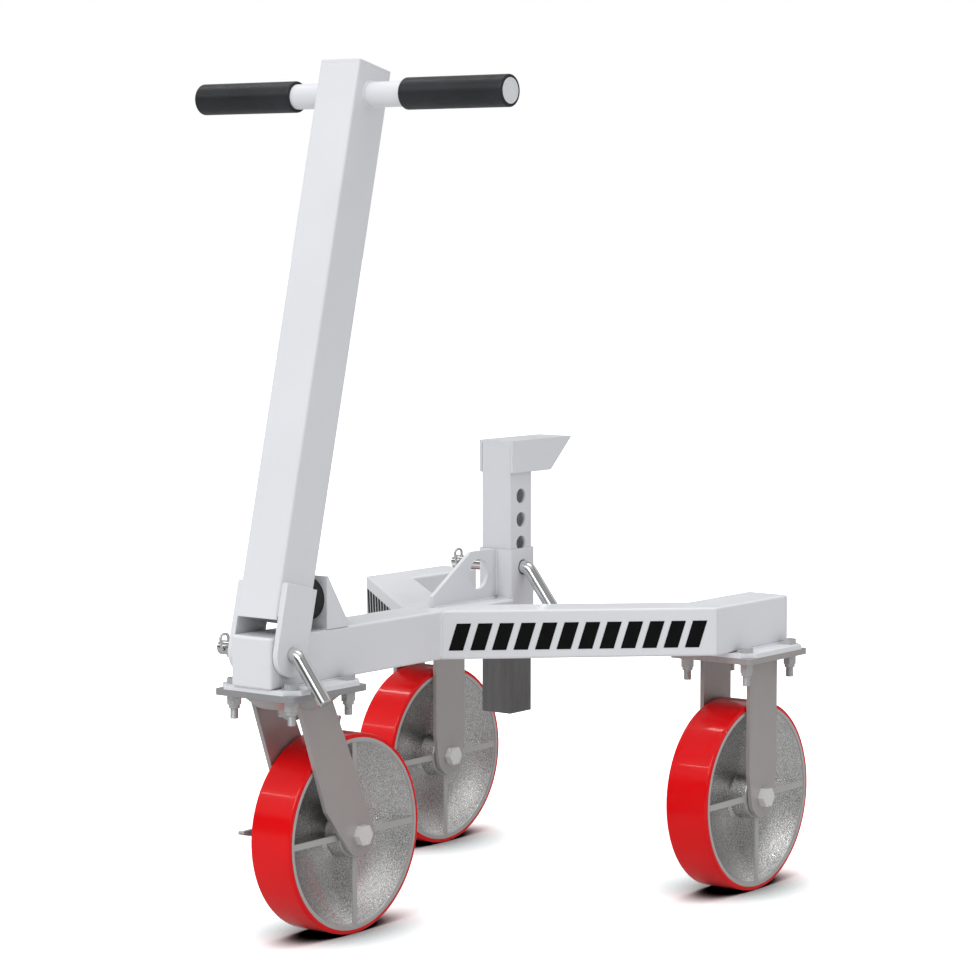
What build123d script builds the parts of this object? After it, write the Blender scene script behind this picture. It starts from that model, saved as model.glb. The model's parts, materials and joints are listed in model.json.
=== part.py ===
"""Three-wheel hand dolly for moving a trailer by its nose.

A Y-shaped frame of square tube stands on a swivel caster in front and two rigid
casters behind.  A tee handle pivots on a hitch pin at the front of the frame and
leans back on a rubber bumper.  A height-adjustable lift post with a wedge-nosed
head is pinned in a receiver behind the fork of the Y.

Millimetres, +Z up, -Y towards the handle end, X across.  The origin is on the
ground, in the middle of the overall length and width.
"""

import os
from math import cos, radians, sin, tan

from build123d import *

os.makedirs("parts", exist_ok=True)

INCH = 25.4

# Overall layout
OVERALL_LENGTH = 648.6
WHEELBASE = 419.0
TRACK_HALF = 211.6
WHEEL_R = 4 * INCH
REAR_AXLE_Y = OVERALL_LENGTH / 2 - WHEEL_R
FRONT_AXLE_Y = REAR_AXLE_Y - WHEELBASE
SWIVEL_LEAD = 67.4
SWIVEL_Y = FRONT_AXLE_Y - SWIVEL_LEAD

# Heights
CASTER_HEIGHT = 257.3
MOUNT_PLATE_T = 4.76
FRAME_BOTTOM = CASTER_HEIGHT + MOUNT_PLATE_T

# Square frame tube
TUBE = 2 * INCH
TUBE_HALF = TUBE / 2
TUBE_WALL = 3.2
TUBE_CORNER_R = 2.6
TUBE_INSIDE_R = 0.8
FRAME_TOP = FRAME_BOTTOM + TUBE
FRAME_MID = FRAME_BOTTOM + TUBE_HALF
END_CAP_T = 3.2

# Frame outline in plan
ARM_FRONT_Y = -OVERALL_LENGTH / 2
ARM_CAP_T = 6.35
ARM_CAP_EDGE_R = 3.0
WING_ANGLE = 43.0
WING_ROOT_Y = -56.9
WING_ROUGH_LENGTH = 400.0
BEAM_END_Y = 278.9

# Lift post, its receiver and head
POST = 1.5 * INCH
POST_HALF = POST / 2
POST_WALL = 3.2
POST_Y = 90.4
POST_BOTTOM = 188.4
RECEIVER = 43.2
RECEIVER_WALL = 2.25
RECEIVER_TOP = 365.7
PIN_HOLE_R = 8.0
POST_PIN_Z = 345.5
HOLE_PITCH = INCH
HOLES_ABOVE_PIN = 3
HOLES_BELOW_PIN = 2
HEAD_TOP = 481.5
HEAD_BOTTOM = 447.0
HEAD_PLATE = 3.2
HEAD_HEEL_Y = 140.1
HEAD_TIP_Y = 178.2

# Handle and its pivot
PIVOT_Y = -299.0
PIVOT_Z = 295.0
HANDLE_TILT = 13.6
HANDLE_START = 30.6
HANDLE_END = 590.5
BAR_HEIGHT = 560.5
BAR_HALF = 197.8
BAR_R = INCH / 2
BAR_WALL = 3.2
GRIP_R = 1.25 * INCH / 2
GRIP_LENGTH = 5 * INCH
EAR_T = 6.35
EAR_R = 22.2
EAR_TOP = 67.0
EAR_GAP = 0.4

# Bent hitch pins and their clips
PIN_R = 7.15
PIN_BORE_R = 7.21
SLEEVE_R = 10.0
PIN_LEG_ANGLE = 52.0
PIN_LEG = 57.0
PIN_BEND_R = 12.0
PIN_STRAIGHT = 100.0
PIVOT_PIN_CORNER_X = 38.6
POST_PIN_CORNER_X = 28.6
CLIP_FROM_END = 10.0
CLIP_WIRE_R = 1.4
CLIP_HOLE_R = 1.6

# Bumper behind the handle
BUMPER_FACE_Y = -238.8
BUMPER_Z = 342.6
BUMPER_R = 22.0
BUMPER_HEIGHT = 21.5
BUMPER_DOME_R = 30.2
STUD_DISC_R = 14.0
STUD_DISC_T = 2.0
STUD_R = 3.0
STUD_NUT_AF = 10.0
STUD_NUT_T = 5.0
STUD_TAIL = 4.0
BRACKET_TOP = 365.6
BRACKET_DEPTH = 32.4
BRACKET_WALL = 4.0
BRACKET_TOE = 5.0

# Gusset between the arm and the receiver
GUSSET_T = 4.76
GUSSET_TOE_Y = -40.5
GUSSET_TOE_TOP = 324.5
GUSSET_SHOULDER_Y = 24.0
GUSSET_HOLE_Y = 38.0
GUSSET_HOLE_Z = 341.1
GUSSET_HOLE_R = 16.0

# Caster plates and their bolts
PLATE_X = 4 * INCH
PLATE_Y = 4.5 * INCH
CASTER_PLATE_T = 6.35
PLATE_CORNER_R = 4.0
MOUNT_CHAMFER = 12.7
BOLT_SPACING_X = 74.6
BOLT_SPACING_Y = 85.7
BOLT_R = 4.0
BOLT_HOLE_R = 4.4
BOLT_AF = 13.0
BOLT_HEAD = 5.5
BOLT_END_Z = 227.0
NUT_FLANGE_R = 7.8
NUT_FLANGE_T = 1.6
NUT_HEX = 8.5
NUT_COLLAR_R = 5.6
NUT_COLLAR = 3.5
CASTER_PLATE_BOTTOM = CASTER_HEIGHT - CASTER_PLATE_T

# Caster legs
LEG_OUT_X = 31.75
LEG_T = 4.76
LEG_IN_X = LEG_OUT_X - LEG_T
RIGID_LEG_WIDTH = 53.0
LEG_END_R = 22.0
RIGID_LEG_SHOULDER_Z = 128.0

# Swivel of the front caster
CROWN_TOP_Z = 250.3
CROWN_BOTTOM_Z = 238.5
CROWN_TOP_R = 47.9
CROWN_BOTTOM_R = 35.6
KINGPIN_R = 8.0
KINGPIN_BORE_R = 8.08
KINGPIN_HEAD_R = 14.0
KINGPIN_END_Z = 224.0
KINGPIN_NUT_AF = 24.0
KINGPIN_NUT_TOP = 238.2
KINGPIN_NUT_T = 11.0
BALL_R = 4.0
BALL_COUNT = 18
BALL_PITCH_R = 30.0
BALL_Z = 248.2
BALL_GAP = 0.3

# Wheels
WHEEL_HALF = INCH
TREAD_R = 97.3
TREAD_KEY_R = 92.0
TREAD_KEY_HALF = 16.0
TREAD_EDGE_R = 2.5
RIM_LIP_R = 93.6
WEB_HALF = 4.5
DISH_MID = 6.0
RIM_FACE_X = 24.4
HUB_R = 25.0
HUB_HALF = 25.5
HUB_BORE_R = 15.9
RIB_T = 6.35
RIB_FACE_X = 24.6
CUP_R = 13.9
ROLLER_R = 2.5
ROLLER_PITCH_R = 11.45
ROLLER_COUNT = 12
ROLLER_HALF = 20.0
SPACER_R = 8.9
SPACER_BORE_R = 6.45
WASHER_R = 20.0
WASHER_IN_X = 25.7

# Axle bolts
AXLE_R = 6.35
AXLE_HEAD_AF = 19.05
AXLE_HEAD = 8.0
AXLE_NUT = 11.0
AXLE_TAIL = 4.0

# Lock lever on the front axle, between the left leg and the nut
LEVER_T = 4.0
LEVER_GAP = 0.3
LEVER_FIT = 0.05
LEVER_HUB_R = 14.0
LEVER_TIP_R = 2.0
LEVER_TREAD = 7.0
LEVER_TOE = (-102.1, 9.5)
LEVER_HEEL = (45.0, 107.0)


def save(piece, name):
    """Label a finished piece and write it as one STEP file."""
    piece.part.label = name
    export_step(piece.part, f"parts/{name}.step")


def cross_hole(y, z, radius, reach):
    """Cut a round hole along X, out to a reach on both sides of the centre plane."""
    with BuildSketch(Plane.YZ) as hole:
        with Locations((y, z)):
            Circle(radius)
    extrude(hole.sketch, amount=reach, both=True, mode=Mode.SUBTRACT)


def square_tube(plane, outer, wall, corner, length):
    """A square tube that starts on a plane and runs along its normal."""
    with BuildPart() as tube:
        with BuildSketch(plane):
            RectangleRounded(outer, outer, corner)
            inner = outer - 2 * wall
            RectangleRounded(inner, inner, max(corner - wall, TUBE_INSIDE_R), mode=Mode.SUBTRACT)
        extrude(amount=length)
    return tube


def plate_from_outline(points, plane, thickness):
    """A flat plate, both sides of a plane, from a closed outline in that plane."""
    with BuildPart() as plate:
        with BuildSketch(plane):
            with BuildLine():
                Polyline(*points, close=True)
            make_face()
        extrude(amount=thickness / 2, both=True)
    return plate


# ---------------------------------------------------------------- frame tubes
post_front_y = POST_Y - POST_HALF
receiver_front_y = POST_Y - RECEIVER / 2
arm_start_y = ARM_FRONT_Y + ARM_CAP_T

front_arm = square_tube(
    Plane(origin=(0, arm_start_y, FRAME_MID), x_dir=(1, 0, 0), z_dir=(0, 1, 0)),
    TUBE, TUBE_WALL, TUBE_CORNER_R, receiver_front_y - arm_start_y,
)
with front_arm:
    cross_hole(PIVOT_Y, PIVOT_Z, SLEEVE_R, TUBE)
save(front_arm, "front_arm")

with BuildPart() as arm_end_cap:
    with BuildSketch(Plane(origin=(0, arm_start_y, FRAME_MID), x_dir=(1, 0, 0), z_dir=(0, -1, 0))):
        RectangleRounded(TUBE, TUBE, TUBE_CORNER_R)
    extrude(amount=ARM_CAP_T)
    fillet(arm_end_cap.faces().sort_by(Axis.Y)[0].edges(), ARM_CAP_EDGE_R)
save(arm_end_cap, "arm_end_cap")

with BuildPart() as arm_pivot_sleeve:
    with BuildSketch(Plane.YZ):
        with Locations((PIVOT_Y, PIVOT_Z)):
            Circle(SLEEVE_R)
            Circle(PIN_BORE_R, mode=Mode.SUBTRACT)
    extrude(amount=TUBE_HALF, both=True)
save(arm_pivot_sleeve, "arm_pivot_sleeve")

# A wing's outer face runs from the arm's side to the beam's outer face.
wing_slope = tan(radians(WING_ANGLE))
beam_out_x = TRACK_HALF + TUBE_HALF
corner_y = WING_ROOT_Y + (beam_out_x - TUBE_HALF) * wing_slope
mitre_angle = radians((WING_ANGLE + 90) / 2)

for side, name in ((1, "right"), (-1, "left")):
    along = Vector(side * cos(radians(WING_ANGLE)), sin(radians(WING_ANGLE)), 0)
    inward = Vector(-side * sin(radians(WING_ANGLE)), cos(radians(WING_ANGLE)), 0)
    root = Vector(side * TUBE_HALF, WING_ROOT_Y, FRAME_MID)
    start = root + inward * TUBE_HALF - along * TUBE
    corner = Vector(side * beam_out_x, corner_y, FRAME_MID)
    mitre = Plane(origin=corner, z_dir=(side * cos(mitre_angle), sin(mitre_angle), 0))

    wing_plane = Plane(origin=start, x_dir=(0, 0, 1), z_dir=along)
    wing = square_tube(wing_plane, TUBE, TUBE_WALL, TUBE_CORNER_R, WING_ROUGH_LENGTH)
    with wing:
        split(bisect_by=Plane(origin=(side * TUBE_HALF, 0, 0), z_dir=(side, 0, 0)), keep=Keep.TOP)
        split(bisect_by=mitre, keep=Keep.BOTTOM)
    save(wing, f"{name}_wing")

    beam = square_tube(
        Plane(origin=(side * TRACK_HALF, 0, FRAME_MID), x_dir=(1, 0, 0), z_dir=(0, 1, 0)),
        TUBE, TUBE_WALL, TUBE_CORNER_R, BEAM_END_Y - END_CAP_T,
    )
    with beam:
        split(bisect_by=mitre, keep=Keep.TOP)
    save(beam, f"{name}_wheel_beam")

with BuildPart() as beam_end_caps:
    with BuildSketch(Plane(origin=(0, BEAM_END_Y - END_CAP_T, FRAME_MID), x_dir=(1, 0, 0), z_dir=(0, 1, 0))):
        with Locations((-TRACK_HALF, 0), (TRACK_HALF, 0)):
            RectangleRounded(TUBE, TUBE, TUBE_CORNER_R)
    extrude(amount=END_CAP_T)
save(beam_end_caps, "beam_end_caps")

# ------------------------------------------------------- receiver, post, head
post_receiver = square_tube(
    Plane.XY.offset(FRAME_BOTTOM).shift_origin((0, POST_Y, FRAME_BOTTOM)),
    RECEIVER, RECEIVER_WALL, 3.2, RECEIVER_TOP - FRAME_BOTTOM,
)
with post_receiver:
    cross_hole(POST_Y, POST_PIN_Z, PIN_HOLE_R, RECEIVER)
save(post_receiver, "post_receiver")

lift_post = square_tube(
    Plane.XY.offset(POST_BOTTOM).shift_origin((0, POST_Y, POST_BOTTOM)),
    POST, POST_WALL, 1.2, HEAD_TOP - HEAD_PLATE - POST_BOTTOM,
)
with lift_post:
    for step in range(-HOLES_BELOW_PIN, HOLES_ABOVE_PIN + 1):
        cross_hole(POST_Y, POST_PIN_Z + step * HOLE_PITCH, PIN_HOLE_R, POST)
save(lift_post, "lift_post")

# The head is a welded box, open below, with a slanted nose.
nose_slope = (HEAD_TIP_Y - HEAD_HEEL_Y) / (HEAD_TOP - HEAD_BOTTOM)
nose_shift = HEAD_PLATE * (1 + nose_slope**2) ** 0.5
inner_top = HEAD_TOP - HEAD_PLATE
inner_heel_y = HEAD_HEEL_Y - nose_shift
inner_tip_y = inner_heel_y + (inner_top - HEAD_BOTTOM) * nose_slope
with BuildPart() as lift_head:
    with BuildSketch(Plane.YZ):
        with BuildLine():
            Polyline(
                (post_front_y, HEAD_BOTTOM), (HEAD_HEEL_Y, HEAD_BOTTOM),
                (HEAD_TIP_Y, HEAD_TOP), (post_front_y, HEAD_TOP), close=True,
            )
        make_face()
    extrude(amount=POST_HALF + HEAD_PLATE, both=True)
    with BuildSketch(Plane.YZ):
        with BuildLine():
            Polyline(
                (post_front_y, HEAD_BOTTOM), (inner_heel_y, HEAD_BOTTOM),
                (inner_tip_y, inner_top), (post_front_y, inner_top), close=True,
            )
        make_face()
    extrude(amount=POST_HALF, both=True, mode=Mode.SUBTRACT)
save(lift_head, "lift_head")

gusset_plate = plate_from_outline(
    [
        (GUSSET_TOE_Y, FRAME_TOP), (receiver_front_y, FRAME_TOP), (receiver_front_y, RECEIVER_TOP),
        (GUSSET_SHOULDER_Y, RECEIVER_TOP), (GUSSET_TOE_Y, GUSSET_TOE_TOP),
    ],
    Plane.YZ, GUSSET_T,
)
with gusset_plate:
    cross_hole(GUSSET_HOLE_Y, GUSSET_HOLE_Z, GUSSET_HOLE_R, GUSSET_T)
save(gusset_plate, "gusset_plate")

# ----------------------------------------------------------- handle's bumper
bracket_back_y = BUMPER_FACE_Y + BRACKET_DEPTH
with BuildPart() as bumper_bracket:
    with BuildSketch(Plane.YZ):
        with BuildLine():
            Polyline(
                (BUMPER_FACE_Y, FRAME_TOP), (bracket_back_y, FRAME_TOP),
                (bracket_back_y, FRAME_TOP + BRACKET_TOE),
                (BUMPER_FACE_Y + 2, BRACKET_TOP), (BUMPER_FACE_Y, BRACKET_TOP), close=True,
            )
        make_face()
    extrude(amount=TUBE_HALF, both=True)
    with BuildSketch(Plane.XY.offset(FRAME_TOP)):
        with Locations((0, BUMPER_FACE_Y + BRACKET_WALL + BRACKET_DEPTH / 2)):
            Rectangle(TUBE - 2 * BRACKET_WALL, BRACKET_DEPTH)
    extrude(amount=TUBE, mode=Mode.SUBTRACT)
    with BuildSketch(Plane.XZ.offset(-BUMPER_FACE_Y)):
        with Locations((0, BUMPER_Z)):
            Circle(STUD_R)
    extrude(amount=-BRACKET_WALL, mode=Mode.SUBTRACT)
save(bumper_bracket, "bumper_bracket")

with BuildPart() as bumper_stud:
    for distance, length, radius in (
        (STUD_DISC_T, STUD_DISC_T, STUD_DISC_R),
        (0, BRACKET_WALL + STUD_NUT_T + STUD_TAIL, STUD_R),
    ):
        with BuildSketch(Plane.XZ.offset(-BUMPER_FACE_Y + distance)):
            with Locations((0, BUMPER_Z)):
                Circle(radius)
        extrude(amount=-length)
    with BuildSketch(Plane.XZ.offset(-BUMPER_FACE_Y - BRACKET_WALL)):
        with Locations((0, BUMPER_Z)):
            RegularPolygon(STUD_NUT_AF / 2, 6, major_radius=False)
    extrude(amount=-STUD_NUT_T)
save(bumper_stud, "bumper_stud")

# Turned about its own axis: distance forward of the bracket against radius.
bumper_section = Plane(origin=(0, BUMPER_FACE_Y, BUMPER_Z), x_dir=(0, -1, 0), z_dir=(1, 0, 0))
dome_centre = BUMPER_HEIGHT - BUMPER_DOME_R
dome_side = (dome_centre + BUMPER_DOME_R * cos(radians(24)), BUMPER_DOME_R * sin(radians(24)))
bumper_rim = dome_centre + (BUMPER_DOME_R**2 - BUMPER_R**2) ** 0.5
with BuildPart() as rubber_bumper:
    with BuildSketch(bumper_section):
        with BuildLine():
            Polyline((BUMPER_HEIGHT, 0), (0, 0), (0, BUMPER_R), (bumper_rim, BUMPER_R))
            ThreePointArc((bumper_rim, BUMPER_R), dome_side, (BUMPER_HEIGHT, 0))
        make_face()
    revolve(axis=Axis((0, 0, BUMPER_Z), (0, 1, 0)))
    add(bumper_stud.part, mode=Mode.SUBTRACT)
save(rubber_bumper, "rubber_bumper")

# ------------------------------------------------------------ caster fixings
caster_centres = [(0, SWIVEL_Y), (-TRACK_HALF, REAR_AXLE_Y), (TRACK_HALF, REAR_AXLE_Y)]


def mount_plate(centre):
    """The chamfered plate welded under a frame tube, with four bolt holes."""
    with BuildPart() as plate:
        with BuildSketch(Plane.XY.offset(CASTER_HEIGHT)) as outline:
            with Locations(centre):
                Rectangle(PLATE_X, PLATE_Y)
            chamfer(outline.vertices(), MOUNT_CHAMFER)
            with Locations(centre):
                with GridLocations(BOLT_SPACING_X, BOLT_SPACING_Y, 2, 2):
                    Circle(BOLT_HOLE_R, mode=Mode.SUBTRACT)
        extrude(amount=MOUNT_PLATE_T)
    return plate


for centre, name in zip(caster_centres, ("front", "left", "right")):
    save(mount_plate(centre), f"{name}_mount_plate")

with BuildPart() as plate_bolts:
    with BuildSketch(Plane.XY.offset(FRAME_BOTTOM)):
        with Locations(*caster_centres):
            with GridLocations(BOLT_SPACING_X, BOLT_SPACING_Y, 2, 2):
                RegularPolygon(BOLT_AF / 2, 6, major_radius=False)
    extrude(amount=BOLT_HEAD)
    with BuildSketch(Plane.XY.offset(FRAME_BOTTOM)):
        with Locations(*caster_centres):
            with GridLocations(BOLT_SPACING_X, BOLT_SPACING_Y, 2, 2):
                Circle(BOLT_R)
    extrude(amount=BOLT_END_Z - FRAME_BOTTOM)
save(plate_bolts, "plate_bolts")

# Lock nuts: a flange under the plate, a hexagon, and the collar of the insert.
nut_layers = (
    (CASTER_PLATE_BOTTOM, NUT_FLANGE_T, lambda: Circle(NUT_FLANGE_R)),
    (CASTER_PLATE_BOTTOM - NUT_FLANGE_T, NUT_HEX, lambda: RegularPolygon(BOLT_AF / 2, 6, major_radius=False)),
    (CASTER_PLATE_BOTTOM - NUT_FLANGE_T - NUT_HEX, NUT_COLLAR, lambda: Circle(NUT_COLLAR_R)),
)
with BuildPart() as plate_nuts:
    for top, height, outline in nut_layers:
        with BuildSketch(Plane.XY.offset(top)):
            with Locations(*caster_centres):
                with GridLocations(BOLT_SPACING_X, BOLT_SPACING_Y, 2, 2):
                    outline()
                    Circle(BOLT_R, mode=Mode.SUBTRACT)
        extrude(amount=-height)
save(plate_nuts, "plate_nuts")

# -------------------------------------------------------------- rear casters


def caster_plate_sketch(centre):
    """The outline of a caster's own top plate, with its bolt holes."""
    with BuildSketch(Plane.XY.offset(CASTER_PLATE_BOTTOM)) as outline:
        with Locations(centre):
            RectangleRounded(PLATE_X, PLATE_Y, PLATE_CORNER_R)
            with GridLocations(BOLT_SPACING_X, BOLT_SPACING_Y, 2, 2):
                Circle(BOLT_HOLE_R, mode=Mode.SUBTRACT)
    return outline.sketch


for side, name in ((1, "right"), (-1, "left")):
    with BuildPart() as rigid_fork:
        add(caster_plate_sketch((side * TRACK_HALF, REAR_AXLE_Y)))
        extrude(amount=CASTER_PLATE_T)
        for leg_x in (-LEG_OUT_X, LEG_IN_X):
            with BuildSketch(Plane.YZ.offset(side * TRACK_HALF + leg_x)):
                with Locations((REAR_AXLE_Y, WHEEL_R)):
                    Circle(LEG_END_R)
                with Locations((REAR_AXLE_Y, (RIGID_LEG_SHOULDER_Z + CASTER_PLATE_BOTTOM) / 2)):
                    Rectangle(RIGID_LEG_WIDTH, CASTER_PLATE_BOTTOM - RIGID_LEG_SHOULDER_Z)
                make_hull()
                with Locations((REAR_AXLE_Y, WHEEL_R)):
                    Circle(AXLE_R, mode=Mode.SUBTRACT)
            extrude(amount=LEG_T)
    save(rigid_fork, f"rear_{name}_fork")

# ------------------------------------------------- front caster's fixed parts
swivel_axis = Axis((0, SWIVEL_Y, 0), (0, 0, 1))
swivel_profile = Plane(origin=(0, SWIVEL_Y, 0), x_dir=(1, 0, 0), z_dir=(0, -1, 0))


def kingpin_outline():
    """Half section of the kingpin: countersunk head flush with the plate's top."""
    with BuildLine() as outline:
        Polyline(
            (0, KINGPIN_END_Z), (KINGPIN_R - 1, KINGPIN_END_Z), (KINGPIN_R, KINGPIN_END_Z + 1),
            (KINGPIN_R, CASTER_PLATE_BOTTOM), (KINGPIN_HEAD_R, CASTER_HEIGHT), (0, CASTER_HEIGHT),
            close=True,
        )
    return outline.line


with BuildPart() as kingpin:
    with BuildSketch(swivel_profile):
        add(kingpin_outline())
        make_face()
    revolve(axis=swivel_axis)
save(kingpin, "kingpin")

with BuildPart() as kingpin_nut:
    with BuildSketch(Plane.XY.offset(KINGPIN_NUT_TOP)):
        with Locations((0, SWIVEL_Y)):
            RegularPolygon(KINGPIN_NUT_AF / 2, 6, major_radius=False)
            Circle(KINGPIN_R, mode=Mode.SUBTRACT)
    extrude(amount=-KINGPIN_NUT_T)
save(kingpin_nut, "kingpin_nut")

with BuildPart() as swivel_top_plate:
    add(caster_plate_sketch((0, SWIVEL_Y)))
    extrude(amount=CASTER_PLATE_T)
    add(kingpin.part, mode=Mode.SUBTRACT)
    with BuildSketch(swivel_profile):
        with Locations((BALL_PITCH_R, BALL_Z)):
            Circle(BALL_R + BALL_GAP)
    revolve(axis=swivel_axis, mode=Mode.SUBTRACT)
save(swivel_top_plate, "swivel_top_plate")

# ------------------------------------------------ front caster's turning fork
with BuildPart() as swivel_balls:
    with Locations((0, SWIVEL_Y, BALL_Z)):
        with PolarLocations(BALL_PITCH_R, BALL_COUNT):
            Sphere(BALL_R)
save(swivel_balls, "swivel_balls")

with BuildPart() as swivel_crown:
    with BuildSketch(swivel_profile):
        with BuildLine():
            Polyline(
                (KINGPIN_BORE_R, CROWN_BOTTOM_Z), (CROWN_BOTTOM_R, CROWN_BOTTOM_Z),
                (CROWN_TOP_R, CROWN_TOP_Z - 2), (CROWN_TOP_R, CROWN_TOP_Z), (KINGPIN_BORE_R, CROWN_TOP_Z),
                close=True,
            )
        make_face()
        with Locations((BALL_PITCH_R, BALL_Z)):
            Circle(BALL_R + 0.05, mode=Mode.SUBTRACT)
    revolve(axis=swivel_axis)
save(swivel_crown, "swivel_crown")

# Front legs lean back from the crown to the axle: outline as Y, Z.
leg_top_z = CROWN_BOTTOM_Z + 4
leg_outline = [
    (FRONT_AXLE_Y - 92.3, leg_top_z), (FRONT_AXLE_Y - 41.9, leg_top_z), (FRONT_AXLE_Y - 51.5, 131.0),
]
for side, name in ((1, "right"), (-1, "left")):
    with BuildPart() as front_leg:
        with BuildSketch(Plane.YZ.offset(side * (LEG_IN_X + LEG_OUT_X) / 2)):
            with Locations((FRONT_AXLE_Y, WHEEL_R)):
                Circle(LEG_END_R)
            with BuildLine():
                Polyline(*leg_outline, close=True)
            make_face()
            make_hull()
            with Locations((FRONT_AXLE_Y, WHEEL_R)):
                Circle(AXLE_R, mode=Mode.SUBTRACT)
        extrude(amount=LEG_T / 2, both=True)
        add(swivel_crown.part, mode=Mode.SUBTRACT)
    save(front_leg, f"front_{name}_leg")

# --------------------------------------------------------------- axle pieces


def hexagon_prism(x, y, across_flats, length):
    """A hexagonal prism along X, from x to x + length, on an axle's line."""
    with BuildSketch(Plane.YZ.offset(x)) as hexagon:
        with Locations((y, WHEEL_R)):
            RegularPolygon(across_flats / 2, 6, major_radius=False)
    extrude(hexagon.sketch, amount=length)


def axle_bolts(places):
    """Bolts whose heads bear on the right-hand legs; places are x, y and extra grip length."""
    with BuildPart() as bolts:
        for x, y, extra in places:
            hexagon_prism(x + LEG_OUT_X, y, AXLE_HEAD_AF, AXLE_HEAD)
            with BuildSketch(Plane.YZ.offset(x + LEG_OUT_X)):
                with Locations((y, WHEEL_R)):
                    Circle(AXLE_R)
            extrude(amount=-(2 * LEG_OUT_X + extra + AXLE_NUT + AXLE_TAIL))
    return bolts


def axle_nuts(places):
    """Lock nuts on the left-hand ends of the axle bolts."""
    with BuildPart() as nuts:
        for x, y, extra in places:
            hexagon_prism(x - LEG_OUT_X - extra, y, AXLE_HEAD_AF, -AXLE_NUT)
            with BuildSketch(Plane.YZ.offset(x - LEG_OUT_X - extra)):
                with Locations((y, WHEEL_R)):
                    Circle(AXLE_R)
            extrude(amount=-AXLE_NUT, mode=Mode.SUBTRACT)
    return nuts


front_places = [(0, FRONT_AXLE_Y, LEVER_T + 2 * LEVER_GAP)]
rear_places = [(-TRACK_HALF, REAR_AXLE_Y, 0), (TRACK_HALF, REAR_AXLE_Y, 0)]
save(axle_bolts(front_places), "front_axle_bolt")
save(axle_nuts(front_places), "front_axle_nut")
save(axle_bolts(rear_places), "rear_axle_bolts")
save(axle_nuts(rear_places), "rear_axle_nuts")

# The lock lever hangs on the front axle: a toe in front of the wheel, a heel above it.


def lever_arm(tip, hub_r):
    """One tapered arm of the lever, from its hub to a tip beside the tyre."""
    with BuildSketch(Plane.YZ.offset(-LEG_OUT_X - LEVER_GAP)) as arm:
        with Locations((FRONT_AXLE_Y, WHEEL_R)):
            Circle(hub_r)
            with Locations(tip):
                Circle(LEVER_TIP_R)
        make_hull()
    extrude(arm.sketch, amount=-LEVER_T)


with BuildPart() as lock_lever:
    lever_arm(LEVER_TOE, LEVER_HUB_R)
    lever_arm(LEVER_HEEL, LEVER_HUB_R)
    with BuildSketch(Plane.YZ.offset(-LEG_OUT_X)):
        with Locations((FRONT_AXLE_Y, WHEEL_R)):
            Circle(AXLE_R + LEVER_FIT)
    extrude(amount=-2 * LEVER_T, mode=Mode.SUBTRACT)
    for tip in (LEVER_TOE, LEVER_HEEL):
        with Locations((-LEG_OUT_X - LEVER_GAP - LEVER_TREAD / 2, FRONT_AXLE_Y + tip[0], WHEEL_R + tip[1])):
            Cylinder(LEVER_TIP_R, LEVER_TREAD, rotation=(0, 90, 0))
save(lock_lever, "lock_lever")

# -------------------------------------------------------------------- wheels


def ring(x, y, outer_r, inner_r, half_length):
    """A plain ring about an axle's line, centred at x."""
    with BuildSketch(Plane.YZ.offset(x)) as annulus:
        with Locations((y, WHEEL_R)):
            Circle(outer_r)
            Circle(inner_r, mode=Mode.SUBTRACT)
    extrude(annulus.sketch, amount=half_length, both=True)


def make_wheel(x, y, name):
    """Tread, cast core and roller bearing of one wheel."""
    profile = Plane(origin=(x, y, WHEEL_R), x_dir=(1, 0, 0), z_dir=(0, -1, 0))
    axle = Axis((x, y, WHEEL_R), (1, 0, 0))

    with BuildPart() as tread:
        with BuildSketch(profile) as section:
            with BuildLine():
                Polyline(
                    (-WHEEL_HALF, TREAD_R), (-TREAD_KEY_HALF - 5, TREAD_R), (-TREAD_KEY_HALF, TREAD_KEY_R),
                    (TREAD_KEY_HALF, TREAD_KEY_R), (TREAD_KEY_HALF + 5, TREAD_R), (WHEEL_HALF, TREAD_R),
                    (WHEEL_HALF, WHEEL_R), (-WHEEL_HALF, WHEEL_R), close=True,
                )
            make_face()
            fillet(section.vertices().sort_by(Axis.Y)[-2:], TREAD_EDGE_R)
        revolve(axis=axle)
    save(tread, f"{name}_tread")

    with BuildPart() as core:
        with BuildSketch(profile):
            with BuildLine():
                Polyline(
                    (0, HUB_BORE_R), (HUB_HALF, HUB_BORE_R), (HUB_HALF, HUB_R - 1.5),
                    (WEB_HALF + 2, HUB_R), (WEB_HALF, HUB_R + 4),
                )
                ThreePointArc((WEB_HALF, HUB_R + 4), (WEB_HALF + DISH_MID, 70), (RIM_FACE_X, RIM_LIP_R))
                Polyline(
                    (RIM_FACE_X, RIM_LIP_R), (WHEEL_HALF, RIM_LIP_R), (WHEEL_HALF, TREAD_R),
                    (TREAD_KEY_HALF + 5, TREAD_R), (TREAD_KEY_HALF, TREAD_KEY_R),
                    (0, TREAD_KEY_R), (0, HUB_BORE_R),
                )
            make_face()
            mirror(about=Plane.YZ)
        revolve(axis=axle)
        with BuildSketch(Plane.YZ.offset(x)):
            with Locations((y, WHEEL_R)):
                Rectangle(2 * RIM_LIP_R, RIB_T)
                Rectangle(RIB_T, 2 * RIM_LIP_R)
                Circle(HUB_R - 2, mode=Mode.SUBTRACT)
        extrude(amount=RIB_FACE_X, both=True)
        add(tread.part, mode=Mode.SUBTRACT)
    save(core, f"{name}_core")

    with BuildPart() as bearing:
        ring(x, y, HUB_BORE_R, CUP_R, HUB_HALF - 1)
        with BuildSketch(Plane.YZ.offset(x)):
            with Locations((y, WHEEL_R)):
                with PolarLocations(ROLLER_PITCH_R, ROLLER_COUNT):
                    Circle(ROLLER_R)
        extrude(amount=ROLLER_HALF, both=True)
    save(bearing, f"{name}_bearing")


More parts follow.
